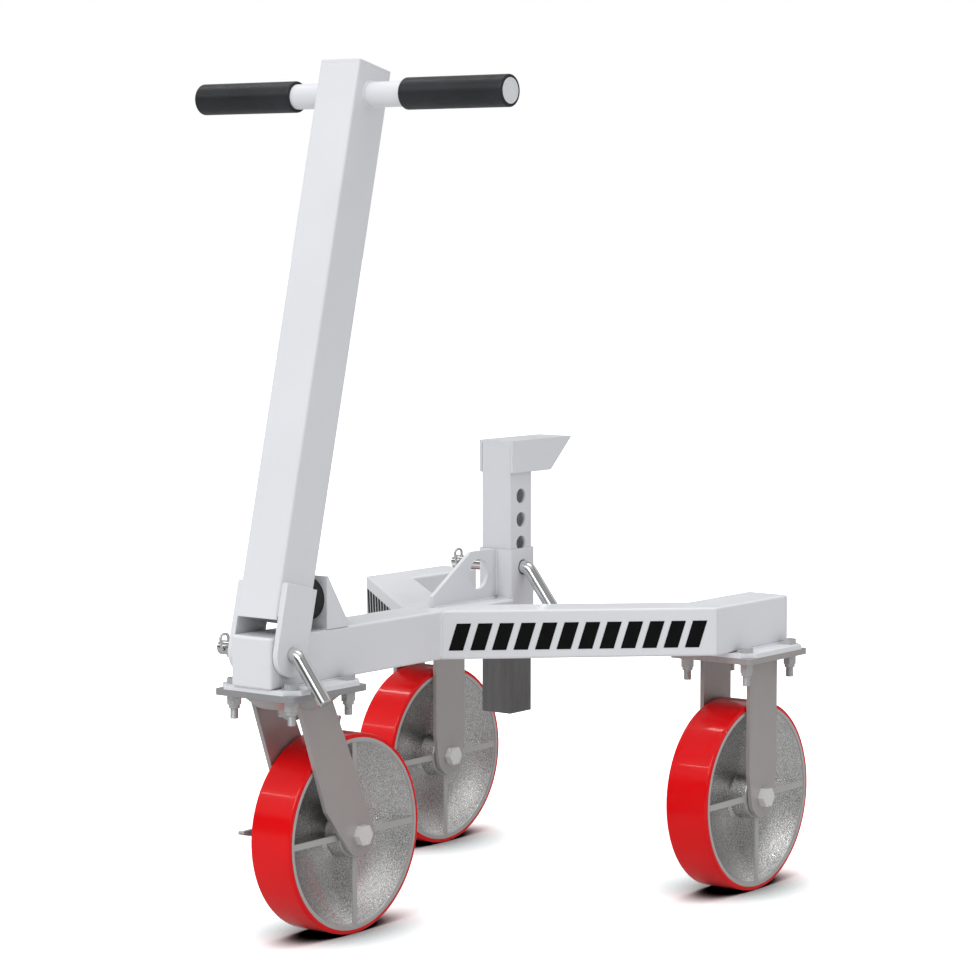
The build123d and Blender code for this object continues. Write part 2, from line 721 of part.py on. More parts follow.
def axle_spacers(places):
    """The tubes that the wheels' rollers run on, clamped between each caster's legs."""
    with BuildPart() as spacers:
        for x, y, _ in places:
            ring(x, y, SPACER_R, SPACER_BORE_R, LEG_IN_X)
    return spacers


def hub_washers(places):
    """Thrust washers on the spacers, against the inside of each leg."""
    with BuildPart() as washers:
        for x, y, _ in places:
            for side in (-1, 1):
                middle = x + side * (LEG_IN_X + WASHER_IN_X) / 2
                ring(middle, y, WASHER_R, SPACER_R, (LEG_IN_X - WASHER_IN_X) / 2)
    return washers



save(axle_spacers(front_places), "front_axle_spacer")
save(hub_washers(front_places), "front_hub_washers")
save(axle_spacers(rear_places), "rear_axle_spacers")
save(hub_washers(rear_places), "rear_hub_washers")
make_wheel(0, FRONT_AXLE_Y, "front_wheel")
make_wheel(-TRACK_HALF, REAR_AXLE_Y, "rear_left_wheel")
make_wheel(TRACK_HALF, REAR_AXLE_Y, "rear_right_wheel")

# -------------------------------------------------------------------- handle
tilt = radians(HANDLE_TILT)
handle_frame = Plane(origin=(0, PIVOT_Y, PIVOT_Z), x_dir=(1, 0, 0), z_dir=(0, sin(tilt), cos(tilt)))
side_frame = Plane(origin=(0, PIVOT_Y, PIVOT_Z), x_dir=(0, cos(tilt), -sin(tilt)), z_dir=(1, 0, 0))

handle_tube = square_tube(
    handle_frame.offset(HANDLE_START), TUBE, TUBE_WALL, TUBE_CORNER_R, HANDLE_END - END_CAP_T - HANDLE_START
)
with handle_tube:
    with BuildSketch(side_frame) as bar_hole:
        with Locations((0, BAR_HEIGHT)):
            Circle(BAR_R)
    extrude(bar_hole.sketch, amount=TUBE, both=True, mode=Mode.SUBTRACT)
save(handle_tube, "handle_tube")

with BuildPart() as handle_top_cap:
    with BuildSketch(handle_frame.offset(HANDLE_END - END_CAP_T)):
        RectangleRounded(TUBE, TUBE, TUBE_CORNER_R)
    extrude(amount=END_CAP_T)
save(handle_top_cap, "handle_top_cap")

for side, name in ((1, "right"), (-1, "left")):
    with BuildPart() as ear:
        with BuildSketch(side_frame.offset(side * (TUBE_HALF + EAR_GAP))):
            Circle(EAR_R)
            with Locations((0, EAR_TOP / 2)):
                Rectangle(2 * EAR_R, EAR_TOP)
            Circle(PIN_BORE_R, mode=Mode.SUBTRACT)
        extrude(amount=side * EAR_T)
        with BuildSketch(side_frame.offset(side * TUBE_HALF)):
            with Locations((0, (HANDLE_START + 1 + EAR_TOP) / 2)):
                Rectangle(2 * EAR_R - 6, EAR_TOP - HANDLE_START - 1)
        extrude(amount=side * EAR_GAP)
    save(ear, f"handle_{name}_ear")

with BuildPart() as handle_bar:
    with BuildSketch(side_frame):
        with Locations((0, BAR_HEIGHT)):
            Circle(BAR_R)
            Circle(BAR_R - BAR_WALL, mode=Mode.SUBTRACT)
    extrude(amount=BAR_HALF, both=True)
save(handle_bar, "handle_bar")

with BuildPart() as bar_end_plugs:
    for side in (1, -1):
        with BuildSketch(side_frame.offset(side * BAR_HALF)):
            with Locations((0, BAR_HEIGHT)):
                Circle(BAR_R - BAR_WALL)
        extrude(amount=-side * 6)
save(bar_end_plugs, "bar_end_plugs")

for side, name in ((1, "right"), (-1, "left")):
    with BuildPart() as grip:
        with BuildSketch(side_frame.offset(side * (BAR_HALF - GRIP_LENGTH))):
            with Locations((0, BAR_HEIGHT)):
                Circle(GRIP_R)
        extrude(amount=side * GRIP_LENGTH)
        fillet(grip.edges(), 1.8)
        with BuildSketch(side_frame):
            with Locations((0, BAR_HEIGHT)):
                Circle(BAR_R)
        extrude(amount=side * BAR_HALF * 2, mode=Mode.SUBTRACT)
    save(grip, f"{name}_grip")

# --------------------------------------------------------- hitch pins, clips


def hitch_pin(corner_x, y, z):
    """A bent round pin along X; its leg drops outwards from the right-hand end."""
    lean = radians(PIN_LEG_ANGLE)
    start_x = corner_x - PIN_STRAIGHT
    end = (corner_x + PIN_LEG * cos(lean), y, z - PIN_LEG * sin(lean))
    with BuildPart() as pin:
        with BuildLine():
            FilletPolyline((start_x, y, z), (corner_x, y, z), end, radius=PIN_BEND_R)
        with BuildSketch(Plane(origin=(start_x, y, z), x_dir=(0, 1, 0), z_dir=(1, 0, 0))):
            Circle(PIN_R)
        sweep()
        chamfer(pin.faces().filter_by(GeomType.PLANE).edges(), 1.2)
        with Locations((start_x + CLIP_FROM_END, y, z)):
            Cylinder(CLIP_HOLE_R, 3 * PIN_R, mode=Mode.SUBTRACT)
    return pin


def hair_clip(corner_x, y, z):
    """A wire clip: one leg through the pin's cross hole, a loop, and a sprung leg beside the pin."""
    x = corner_x - PIN_STRAIGHT + CLIP_FROM_END
    beside = PIN_R + CLIP_WIRE_R + 0.15
    loop_z = z + 2 * PIN_R
    route = [
        (x, y, z - PIN_R - 2), (x, y, loop_z), (x, y - beside - 4, loop_z), (x, y - beside, z - 3),
    ]
    with BuildPart() as clip:
        with BuildLine():
            FilletPolyline(*route, radius=4.5)
        with BuildSketch(Plane(origin=route[0], x_dir=(1, 0, 0), z_dir=(0, 0, 1))):
            Circle(CLIP_WIRE_R)
        sweep()
    return clip


for name, corner_x, y, z in (
    ("pivot_pin", PIVOT_PIN_CORNER_X, PIVOT_Y, PIVOT_Z),
    ("post_pin", POST_PIN_CORNER_X, POST_Y, POST_PIN_Z),
):
    save(hitch_pin(corner_x, y, z), name)
    save(hair_clip(corner_x, y, z), f"{name}_clip")
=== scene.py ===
"""Looks, camera and light for the three-wheel trailer dolly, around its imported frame."""

import json
from math import cos, pi, radians, sin

import bmesh
import bpy
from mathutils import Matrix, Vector


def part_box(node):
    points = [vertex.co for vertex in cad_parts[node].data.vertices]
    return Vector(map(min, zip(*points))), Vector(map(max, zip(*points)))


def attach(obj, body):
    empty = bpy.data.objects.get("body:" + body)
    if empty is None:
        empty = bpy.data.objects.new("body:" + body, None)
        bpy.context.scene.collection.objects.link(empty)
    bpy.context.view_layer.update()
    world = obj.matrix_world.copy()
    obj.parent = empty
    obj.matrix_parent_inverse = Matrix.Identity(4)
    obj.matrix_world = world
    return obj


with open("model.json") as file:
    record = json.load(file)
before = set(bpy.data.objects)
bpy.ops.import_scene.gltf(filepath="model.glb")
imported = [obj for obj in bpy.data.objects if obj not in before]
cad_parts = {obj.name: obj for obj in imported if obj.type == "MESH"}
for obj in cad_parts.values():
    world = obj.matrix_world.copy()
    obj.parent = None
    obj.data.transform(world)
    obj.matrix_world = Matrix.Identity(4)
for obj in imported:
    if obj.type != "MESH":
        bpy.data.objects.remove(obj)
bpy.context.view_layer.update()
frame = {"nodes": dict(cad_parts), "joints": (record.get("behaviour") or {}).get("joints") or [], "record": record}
nodes = frame["nodes"]
joints = {joint["name"]: joint for joint in frame["joints"]}
scene = bpy.context.scene


def middle(node):
    """The centre of a node's box."""
    low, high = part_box(node)
    return (Vector(low) + Vector(high)) / 2


# ------------------------------------------------------------------ shader kit
class Shader:
    """A material's node tree, with short calls for adding and joining nodes."""

    def __init__(self, name, **sockets):
        self.material = bpy.data.materials.new(name)
        self.material.use_nodes = True
        self.tree = self.material.node_tree
        self.bsdf = self.tree.nodes["Principled BSDF"]
        for socket, value in sockets.items():
            self.bsdf.inputs[socket.replace("_", " ")].default_value = value
        self.place = self.node("ShaderNodeTexCoord").outputs["Object"]

    def node(self, kind, settings=None, **inputs):
        new = self.tree.nodes.new(kind)
        for key, value in (settings or {}).items():
            setattr(new, key, value)
        for key, value in inputs.items():
            socket = new.inputs[int(key[1:])] if key[1:].isdigit() else new.inputs[key.replace("_", " ")]
            if isinstance(value, bpy.types.NodeSocket):
                self.tree.links.new(value, socket)
            else:
                socket.default_value = value
        return new

    def math(self, operation, a, b=0.0, c=0.0):
        return self.node("ShaderNodeMath", {"operation": operation}, _0=a, _1=b, _2=c).outputs[0]

    def noise(self, scale, detail=2.0, roughness=0.5, place=None):
        made = self.node("ShaderNodeTexNoise", Vector=place or self.place, Scale=scale, Detail=detail,
                         Roughness=roughness)
        return made.outputs["Fac"]

    def spread(self, value, low, high, to_low, to_high):
        """Maps low..high to to_low..to_high, clamped."""
        made = self.node("ShaderNodeMapRange", Value=value, From_Min=low, From_Max=high, To_Min=to_low,
                         To_Max=to_high)
        return made.outputs["Result"]

    def mix(self, factor, a, b):
        made = self.node("ShaderNodeMix", {"data_type": "RGBA"})
        for socket, value in ((made.inputs[0], factor), (made.inputs[6], a), (made.inputs[7], b)):
            if isinstance(value, bpy.types.NodeSocket):
                self.tree.links.new(value, socket)
            else:
                socket.default_value = value
        return made.outputs[2]

    def bump(self, height, strength, distance, normal=None):
        made = self.node("ShaderNodeBump", Height=height, Strength=strength, Distance=distance)
        if normal:
            self.tree.links.new(normal, made.inputs["Normal"])
        return made.outputs["Normal"]

    def bevel(self, radius):
        return self.node("ShaderNodeBevel", {"samples": 4}, Radius=radius).outputs["Normal"]

    def edge(self, rounded):
        """About 1 on an edge and 0 on a flat, from a rounded normal; it masks the painted highlights on edges."""
        true = self.node("ShaderNodeNewGeometry").outputs["True Normal"]
        dot = self.node("ShaderNodeVectorMath", {"operation": "DOT_PRODUCT"}, _0=rounded, _1=true)
        return self.spread(dot.outputs["Value"], 0.995, 0.80, 0.0, 1.0)

    def painted_crevice_shade(self, reach, darkest):
        """Painted shade: 1 in the open, falling to darkest deep in a gap or corner."""
        open_sky = self.node("ShaderNodeAmbientOcclusion", {"samples": 6}, Distance=reach).outputs["AO"]
        return self.spread(open_sky, 0.05, 0.55, darkest, 1.0)

    def scale(self, colour, level):
        """A colour times a grey level."""
        scaled = self.node("ShaderNodeVectorMath", {"operation": "SCALE"}, _0=colour, Scale=level)
        return scaled.outputs["Vector"]

    def set(self, socket, value):
        self.tree.links.new(value, self.bsdf.inputs[socket])


def grey(level, warm=0.0):
    """A grey of a given level, slightly towards red and away from blue when warm."""
    return (level * (1 + warm), level, level * (1 - warm), 1.0)


def shade(colour, level, most=1.0):
    """A colour made lighter or darker, with no channel above most."""
    return tuple(min(most, channel * level) for channel in colour[:3]) + (1.0,)


# ------------------------------------------------------------------- materials
# Painted highlight colour for the edges of the white coat.
PAINTED_EDGE_HIGHLIGHT = (0.93, 0.935, 0.95, 1.0)
PAINT_ROUNDING = 0.0011
# Reach and darkest level of the painted shade in gaps and corners.
PAINTED_SHADE_REACH = 0.016
PAINTED_SHADE_DARKEST = 0.45
LIP_RADIUS = 0.0930
THREAD_PITCH = 0.00125


def powder_coat(name, base):
    """White powder coat: faint orange peel, a painted highlight on its edges, painted shade in gaps and corners,
    soft gloss.
    """
    s = Shader(name, Coat_Weight=0.10, Coat_Roughness=0.12, Specular_IOR_Level=0.35)
    rounded = s.bevel(PAINT_ROUNDING)
    cloud = s.noise(7.0, 3.0)
    tinted = s.mix(s.spread(cloud, 0.35, 0.65, 0.0, 1.0), base, shade(base, 0.965))
    # Painted highlight: edges mixed towards a lighter white.
    lit = s.mix(s.edge(rounded), tinted, PAINTED_EDGE_HIGHLIGHT)
    # Painted shade: the colour darkens in gaps and corners.
    s.set("Base Color", s.scale(lit, s.painted_crevice_shade(PAINTED_SHADE_REACH, PAINTED_SHADE_DARKEST)))
    s.set("Roughness", s.spread(s.noise(40.0), 0.3, 0.7, 0.34, 0.42))
    s.set("Normal", s.bump(s.noise(650.0, 1.0), 0.10, 0.0003, rounded))
    return s.material


def coat_with_painted_shade_below(name, base, steel, level):
    """Powder coat above a height, and painted shade below it: a darker, streaked, metallic grey."""
    s = Shader(name, Specular_IOR_Level=0.4)
    rounded = s.bevel(PAINT_ROUNDING)
    up = s.node("ShaderNodeSeparateXYZ", Vector=s.place).outputs[2]
    ragged = s.math("ADD", up, s.spread(s.noise(120.0, 3.0), 0.3, 0.7, -0.0015, 0.0015))
    coat_above_mask = s.spread(ragged, level - 0.0006, level + 0.0006, 0.0, 1.0)
    shade_streak_place = s.node("ShaderNodeMapping", Vector=s.place, Scale=(90.0, 90.0, 9.0)).outputs["Vector"]
    streaks = s.noise(1.0, 4.0, 0.6, shade_streak_place)
    # Painted shade below the height: a darker, streaked grey in place of the coat.
    metal = s.mix(s.spread(streaks, 0.35, 0.65, 0.0, 1.0), steel, shade(steel, 0.8))
    # Painted highlight: the coat's edges mixed towards a lighter white.
    coat_with_edge_highlight = s.mix(s.edge(rounded), base, PAINTED_EDGE_HIGHLIGHT)
    # Painted shade: the colour darkens in gaps and corners.
    s.set("Base Color", s.scale(s.mix(coat_above_mask, metal, coat_with_edge_highlight), s.painted_crevice_shade(PAINTED_SHADE_REACH, PAINTED_SHADE_DARKEST)))
    s.set("Metallic", s.spread(coat_above_mask, 0.0, 1.0, 0.7, 0.0))
    s.set("Roughness", s.spread(s.noise(60.0, 3.0), 0.3, 0.7, 0.32, 0.40))
    s.set("Normal", s.bump(s.noise(650.0, 1.0), 0.08, 0.0003, rounded))
    return s.material


def plated_steel(name, base, metal, rough, thread=None, patchy=0.95, rounding=None):
    """Zinc-plated steel: faint mottling and fine grain, with a painted highlight on its edges where it is rounded,
    and painted shade in gaps and corners.

    thread is an axis, the height where it starts and ends, and its pitch.
    """
    s = Shader(name, Metallic=metal)
    tone = s.mix(s.spread(s.noise(60.0, 4.0, 0.6), 0.35, 0.65, 0.0, 1.0), base, shade(base, patchy))
    normal = None
    if rounding:
        normal = s.bevel(rounding)
        # Painted highlight: rounded edges mixed towards a lighter grey.
        tone = s.mix(s.edge(normal), tone, shade(base, 1.4, most=0.95))
    # Painted shade: the colour darkens in gaps and corners.
    s.set("Base Color", s.scale(tone, s.painted_crevice_shade(0.010, 0.55)))
    s.set("Roughness", s.spread(s.noise(160.0, 3.0), 0.3, 0.7, rough - 0.03, rough + 0.04))
    normal = s.bump(s.noise(900.0, 2.0), 0.03, 0.0001, normal)
    if thread:
        axis, low, high, pitch = thread
        along = s.node("ShaderNodeSeparateXYZ", Vector=s.place).outputs[axis]
        inside = s.math("MULTIPLY", s.math("GREATER_THAN", along, low), s.math("LESS_THAN", along, high))
        ridge = s.math("MULTIPLY", s.math("SINE", s.math("MULTIPLY", along, 2 * pi / pitch)), inside)
        normal = s.bump(ridge, 0.6, pitch * 0.25, normal)
    s.set("Normal", normal)
    return s.material


def chrome(name):
    """Polished chrome with faint handling scratches."""
    s = Shader(name, Metallic=1.0)
    s.set("Base Color", s.mix(s.spread(s.noise(60.0, 4.0), 0.3, 0.7, 0.0, 1.0), grey(0.74), grey(0.82)))
    stretched = s.node("ShaderNodeMapping", Vector=s.place, Scale=(60.0, 900.0, 900.0)).outputs["Vector"]
    fine = s.noise(1.0, 3.0, 0.6, place=stretched)
    s.set("Roughness", s.spread(fine, 0.3, 0.7, 0.05, 0.11))
    s.set("Normal", s.bump(fine, 0.03, 0.0001))
    return s.material


def polyurethane(name):
    """Glossy moulded red tread with slight tone changes and fine dust."""
    s = Shader(name, Coat_Weight=0.35, Coat_Roughness=0.05, Specular_IOR_Level=0.15)
    cloud = s.spread(s.noise(14.0, 3.0), 0.3, 0.7, 0.0, 1.0)
    red = s.mix(cloud, (0.80, 0.004, 0.006, 1.0), (0.74, 0.003, 0.005, 1.0))
    dust = s.spread(s.noise(420.0, 3.0, 0.7), 0.70, 0.84, 0.0, 0.05)
    s.set("Base Color", s.mix(dust, red, (0.62, 0.20, 0.18, 1.0)))
    s.set("Roughness", s.spread(s.noise(55.0, 2.0), 0.3, 0.7, 0.16, 0.22))
    s.set("Normal", s.bump(s.noise(300.0, 2.0), 0.02, 0.0002, s.bevel(0.0008)))
    return s.material


def cast_core(name, centre, half_width):
    """Cast wheel core: sparkling sand-cast web, and smooth grey on its rim, ribs and hub faces."""
    s = Shader(name)
    split = s.node("ShaderNodeSeparateXYZ", Vector=s.place)
    across = s.math("ABSOLUTE", s.math("SUBTRACT", split.outputs[0], centre[0]))
    up = s.math("SUBTRACT", split.outputs[2], centre[2])
    back = s.math("SUBTRACT", split.outputs[1], centre[1])
    radius = s.math("SQRT", s.math("ADD", s.math("MULTIPLY", up, up), s.math("MULTIPLY", back, back)))
    face = s.spread(across, half_width - 0.0020, half_width - 0.0012, 0.0, 1.0)
    lip = s.spread(radius, LIP_RADIUS, LIP_RADIUS + 0.0004, 0.0, 1.0)
    smooth = s.math("MAXIMUM", face, lip)
    rough = s.math("SUBTRACT", 1.0, smooth)
    grain = s.noise(720.0, 3.0, 0.7)
    lumps = s.noise(260.0, 2.0)
    sand = s.mix(s.spread(s.noise(45.0, 3.0), 0.35, 0.65, 0.0, 1.0), grey(0.54, 0.012), grey(0.62, 0.012))
    speckled = s.mix(s.spread(grain, 0.40, 0.62, 0.0, 1.0), s.mix(0.30, sand, grey(0.25)), grey(0.97, 0.01))
    s.set("Base Color", s.mix(smooth, speckled, grey(0.50, 0.012)))
    s.set("Metallic", s.spread(smooth, 0.0, 1.0, 0.96, 0.25))
    s.set("Roughness", s.spread(smooth, 0.0, 1.0, 0.26, 0.45))
    height = s.math("MULTIPLY", s.math("ADD", grain, s.math("MULTIPLY", lumps, 0.6)), rough)
    s.set("Normal", s.bump(height, 0.50, 0.0007, s.bevel(0.0010)))
    return s.material


def rubber(name, low, high, rough, speck):
    """Dull moulded rubber or vinyl: fine grain, patchy sheen."""
    s = Shader(name, Specular_IOR_Level=0.45)
    s.set("Base Color", s.mix(s.spread(s.noise(25.0, 3.0), 0.3, 0.7, 0.0, 1.0), low, high))
    s.set("Roughness", s.spread(s.noise(110.0, 3.0), 0.3, 0.7, rough - 0.05, rough + 0.07))
    s.set("Normal", s.bump(s.noise(speck, 2.0, 0.6), 0.22, 0.0003))
    return s.material


def ink(name):
    """Black vinyl print with a slight texture."""
    s = Shader(name, Specular_IOR_Level=0.15)
    s.set("Base Color", s.mix(s.spread(s.noise(120.0), 0.3, 0.7, 0.0, 1.0), grey(0.002), grey(0.004)))
    s.set("Roughness", s.spread(s.noise(80.0), 0.3, 0.7, 0.50, 0.60))
    return s.material


white = powder_coat("white_powder_coat", (0.765, 0.775, 0.805, 1.0))
leg_zinc = plated_steel("satin_zinc", (0.49, 0.462, 0.452, 1.0), 0.50, 0.33, patchy=0.975, rounding=0.0008)
plate_zinc = plated_steel("plate_zinc", (0.36, 0.36, 0.37, 1.0), 0.35, 0.38, patchy=0.97, rounding=0.0008)
bolt_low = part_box("plate_bolts")[0][2]
plate_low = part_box("swivel_top_plate")[0][2]
shank_thread = (2, bolt_low, plate_low, THREAD_PITCH)
upright_bolts = plated_steel("bolt_zinc_upright", grey(0.60), 0.55, 0.30, shank_thread)
bright_zinc = plated_steel("bolt_zinc", grey(0.60), 0.55, 0.28)
axle_zinc = plated_steel("axle_bolt_zinc", grey(0.88, 0.01), 0.5, 0.24)
pin_chrome = chrome("pin_chrome")
# The post is painted darker below the receiver's bottom, as shade.
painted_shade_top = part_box("post_receiver")[0][2]
post_coat = coat_with_painted_shade_below("post_coat", (0.74, 0.75, 0.78, 1.0), grey(0.24), painted_shade_top)
red = polyurethane("red_tread")
bumper_rubber = rubber("bumper_rubber", grey(0.012), grey(0.022), 0.50, 900.0)
grip_vinyl = rubber("grip_vinyl", (0.010, 0.012, 0.014, 1.0), (0.018, 0.020, 0.024, 1.0), 0.40, 1200.0)
black_ink = ink("black_ink")

by_slot = {
    "white_frame": white, "zinc_plate": leg_zinc, "zinc_bolts": bright_zinc, "chrome_pins": pin_chrome,
    "red_tread": red, "black_rubber": bumper_rubber, "black_grips": grip_vinyl,
}
by_node = {
    "plate_bolts": upright_bolts, "lift_post": post_coat, "swivel_top_plate": plate_zinc,
    "bar_end_plugs": white, "front_axle_bolt": axle_zinc, "rear_axle_bolts": axle_zinc,
}
for wheel in ("front_wheel", "rear_left_wheel", "rear_right_wheel"):
    hub = middle(f"{wheel}_core")
    core_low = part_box(f"{wheel}_core")[0][0]
    by_node[f"{wheel}_core"] = cast_core(f"{wheel}_casting", hub, hub.x - core_low)

for row in frame["record"]["subparts"]:
    name = row["node"]
    material = by_node.get(name) or by_slot[row["material_slot"]]
    if not nodes[name].material_slots:
        nodes[name].data.materials.append(material)
    for slot in nodes[name].material_slots:
        slot.material = material


# ---------------------------------------------------------------- piece makers
def finish_piece(name, mesh, material, body, smooth=True):
    """Turns a bmesh into a piece that rides on a body."""
    bmesh.ops.recalc_face_normals(mesh, faces=mesh.faces)
    data = bpy.data.meshes.new(name)
    mesh.to_mesh(data)
    mesh.free()
    data.materials.append(material)
    for polygon in data.polygons:
        polygon.use_smooth = smooth
    piece = bpy.data.objects.new(name, data)
    scene.collection.objects.link(piece)
    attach(piece, body)
    return piece


def along_path(points, spacing):
    """Points a fixed distance apart along a run of straight pieces, with the distance of each."""
    found, walked = [], 0.0
    for a, b in zip(points, points[1:]):
        a, b = Vector(a), Vector(b)
        steps = max(1, round((b - a).length / spacing))
        for step in range(steps):
            found.append((a.lerp(b, step / steps), walked + (b - a).length * step / steps))
        walked += (b - a).length
    found.append((Vector(points[-1]), walked))
    return found


BEAD_STEP = 0.0007


def weld_bead(mesh, points, radius, ripple=0.0028, sides=8, closed=False):
    """Adds a rippled bead along a path to a mesh."""
    rings = []
    path = along_path(points, BEAD_STEP)
    if closed:
        path = path[:-1]
    count = len(path)
    for i, (point, walked) in enumerate(path):
        before = path[i - 1][0] if i or closed else point
        after = path[(i + 1) % count][0] if i < count - 1 or closed else point
        along = (after - before).normalized()
        side = along.orthogonal().normalized()
        other = along.cross(side)
        swell = radius * (0.92 + 0.10 * sin(2 * pi * walked / ripple))
        if not closed and i in (0, count - 1):
            swell *= 0.5
        section = []
        for k in range(sides):
            angle = 2 * pi * k / sides
            section.append(mesh.verts.new(point + (side * cos(angle) + other * sin(angle)) * swell))
        rings.append(section)
    pairs = list(zip(rings, rings[1:])) + ([(rings[-1], rings[0])] if closed else [])
    for one, two in pairs:
        turn = min(range(sides), key=lambda k: (one[0].co - two[k].co).length)
        for k in range(sides):
            nearest, beyond = (k + turn) % sides, (k + 1 + turn) % sides
            mesh.faces.new((one[k], one[(k + 1) % sides], two[beyond], two[nearest]))
    if not closed:
        mesh.faces.new(list(reversed(rings[0])))
        mesh.faces.new(rings[-1])


def welds(name, body, runs, radius):
    """One piece made of several beads; each run is its points and whether it closes."""
    mesh = bmesh.new()
    for points, closed in runs:
        weld_bead(mesh, points, radius, closed=closed)
    finish_piece(name, mesh, white, body)


# ----------------------------------------------------------------------- welds
# The wings' front faces leave the arm's sides at WING_ROOT_Y, and their rear faces at WING_HEEL_Y.
WING_ANGLE = radians(43.0)
WING_ROOT_Y = -0.0569
WING_HEEL_Y = 0.0126
END_GAP = 0.004
RECEIVER_SEAM_X = 0.0205
RECEIVER_TOP_X = 0.019

arm_low, arm_high = (Vector(v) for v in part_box("front_arm"))
arm_x = arm_high.x
frame_low, frame_top = arm_low.z, arm_high.z
wing_runs = []
for side in (-1, 1):
    x = side * arm_x
    seam_z = frame_top - 0.0004
    wing_runs += [
        ([(x, WING_ROOT_Y, frame_low + END_GAP), (x, WING_ROOT_Y, frame_top - END_GAP)], False),
        ([(x, WING_ROOT_Y + 0.003, seam_z), (x, WING_HEEL_Y - 0.003, seam_z)], False),
        ([(x, WING_HEEL_Y, frame_low + END_GAP), (x, WING_HEEL_Y, frame_top - END_GAP)], False),
    ]
welds("wing_welds", "frame", wing_runs, 0.0016)

gusset_low, gusset_high = (Vector(v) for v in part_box("gusset_plate"))
receiver_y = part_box("post_receiver")[0][1]
gusset_runs = []
for x in (gusset_low.x, gusset_high.x):
    gusset_runs += [
        ([(x, gusset_low.y + 0.001, frame_top), (x, gusset_high.y - 0.002, frame_top)], False),
        ([(x, gusset_high.y, frame_top + 0.002), (x, gusset_high.y, gusset_high.z - 0.001)], False),
    ]
receiver_top = [(side * RECEIVER_TOP_X, receiver_y, frame_top) for side in (-1, 1)]
gusset_runs.append((receiver_top, False))
for x in (-RECEIVER_SEAM_X, RECEIVER_SEAM_X):
    seam_y = receiver_y - 0.0002
    gusset_runs.append(([(x, seam_y, frame_low + END_GAP), (x, seam_y, frame_top)], False))
welds("gusset_welds", "frame", gusset_runs, 0.0014)

bracket_low, bracket_high = (Vector(v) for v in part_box("bumper_bracket"))
bracket_ends = [
    (bracket_low.x + 0.003, bracket_low.y, frame_top),
    (bracket_high.x - 0.003, bracket_low.y, frame_top),
]
welds("bracket_welds", "frame", [(bracket_ends, False)], 0.0014)

plate_runs = []
beam_x = middle("right_wheel_beam").x
tube_over = {"front_mount_plate": 0.0, "left_mount_plate": -beam_x, "right_mount_plate": beam_x}
for plate, tube_x in tube_over.items():
    low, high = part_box(plate)
    for side in (-1, 1):
        x = tube_x + side * arm_x
        plate_runs.append(([(x, low[1] + 0.014, frame_low), (x, high[1] - 0.004, frame_low)], False))
welds("plate_welds", "frame", plate_runs, 0.0016)

# ------------------------------------------------------------- handle's details
BAR_RADIUS = 0.0127
RING_STEPS = 72
EAR_HALF = 0.0212
EAR_WELD_LOW, EAR_WELD_HIGH = 0.034, 0.0668
EAR_TOP = 0.067

pivot = Vector(joints["handle_pivot"]["pos_m"])
bar_middle = middle("handle_bar")
lean = (bar_middle - pivot).normalized()
across_bar = Vector((1, 0, 0)).cross(lean)
handle_runs = []
for side in (-1, 1):
    face = bar_middle + Vector((side * arm_x, 0, 0))
    ring = []
    for step in range(RING_STEPS + 1):
        angle = 2 * pi * step / RING_STEPS
        ring.append(face + (lean * cos(angle) + across_bar * sin(angle)) * BAR_RADIUS)
    handle_runs.append((ring, True))
    ear = pivot + Vector((side * (arm_x + 0.0002), 0, 0))
    for edge in (-1, 1):
        base = ear + across_bar * edge * EAR_HALF
        handle_runs.append(([base + lean * EAR_WELD_LOW, base + lean * EAR_WELD_HIGH], False))
    top = ear + lean * EAR_TOP
    handle_runs.append(([top - across_bar * 0.021, top + across_bar * 0.021], False))
welds("handle_welds", "handle", handle_runs, 0.0017)

# ------------------------------------------------------- stripes on both wings
BAND_LOW, BAND_HIGH = 0.2715, 0.2995
BAR_WIDTH, BAR_PITCH, BAR_SLANT = 0.0150, 0.0225, 0.0085
FACE_LENGTH, FACE_MARGIN = 0.2893, 0.008
PRINT_PROUD, PRINT_DEPTH = 0.00035, 0.0006

mesh = bmesh.new()
for side in (-1, 1):
    root = Vector((side * arm_x, WING_ROOT_Y, 0))
    along = Vector((side * cos(WING_ANGLE), sin(WING_ANGLE), 0))
    out = Vector((side * sin(WING_ANGLE), -cos(WING_ANGLE), 0))
    start = FACE_MARGIN
    while start + BAR_WIDTH + BAR_SLANT < FACE_LENGTH - FACE_MARGIN:
        corners = []
        for distance, z in (
            (start, BAND_LOW), (start + BAR_WIDTH, BAND_LOW),
            (start + BAR_WIDTH + BAR_SLANT, BAND_HIGH), (start + BAR_SLANT, BAND_HIGH),
        ):
            corners.append(root + along * distance + Vector((0, 0, z)))
        front = [mesh.verts.new(corner + out * PRINT_PROUD) for corner in corners]
        rear = [mesh.verts.new(corner + out * (PRINT_PROUD - PRINT_DEPTH)) for corner in corners]
        mesh.faces.new(front)
        mesh.faces.new(list(reversed(rear)))
        for k in range(4):
            mesh.faces.new((front[k], rear[k], rear[(k + 1) % 4], front[(k + 1) % 4]))
        start += BAR_PITCH
finish_piece("wing_stripes", mesh, black_ink, "frame", smooth=False)

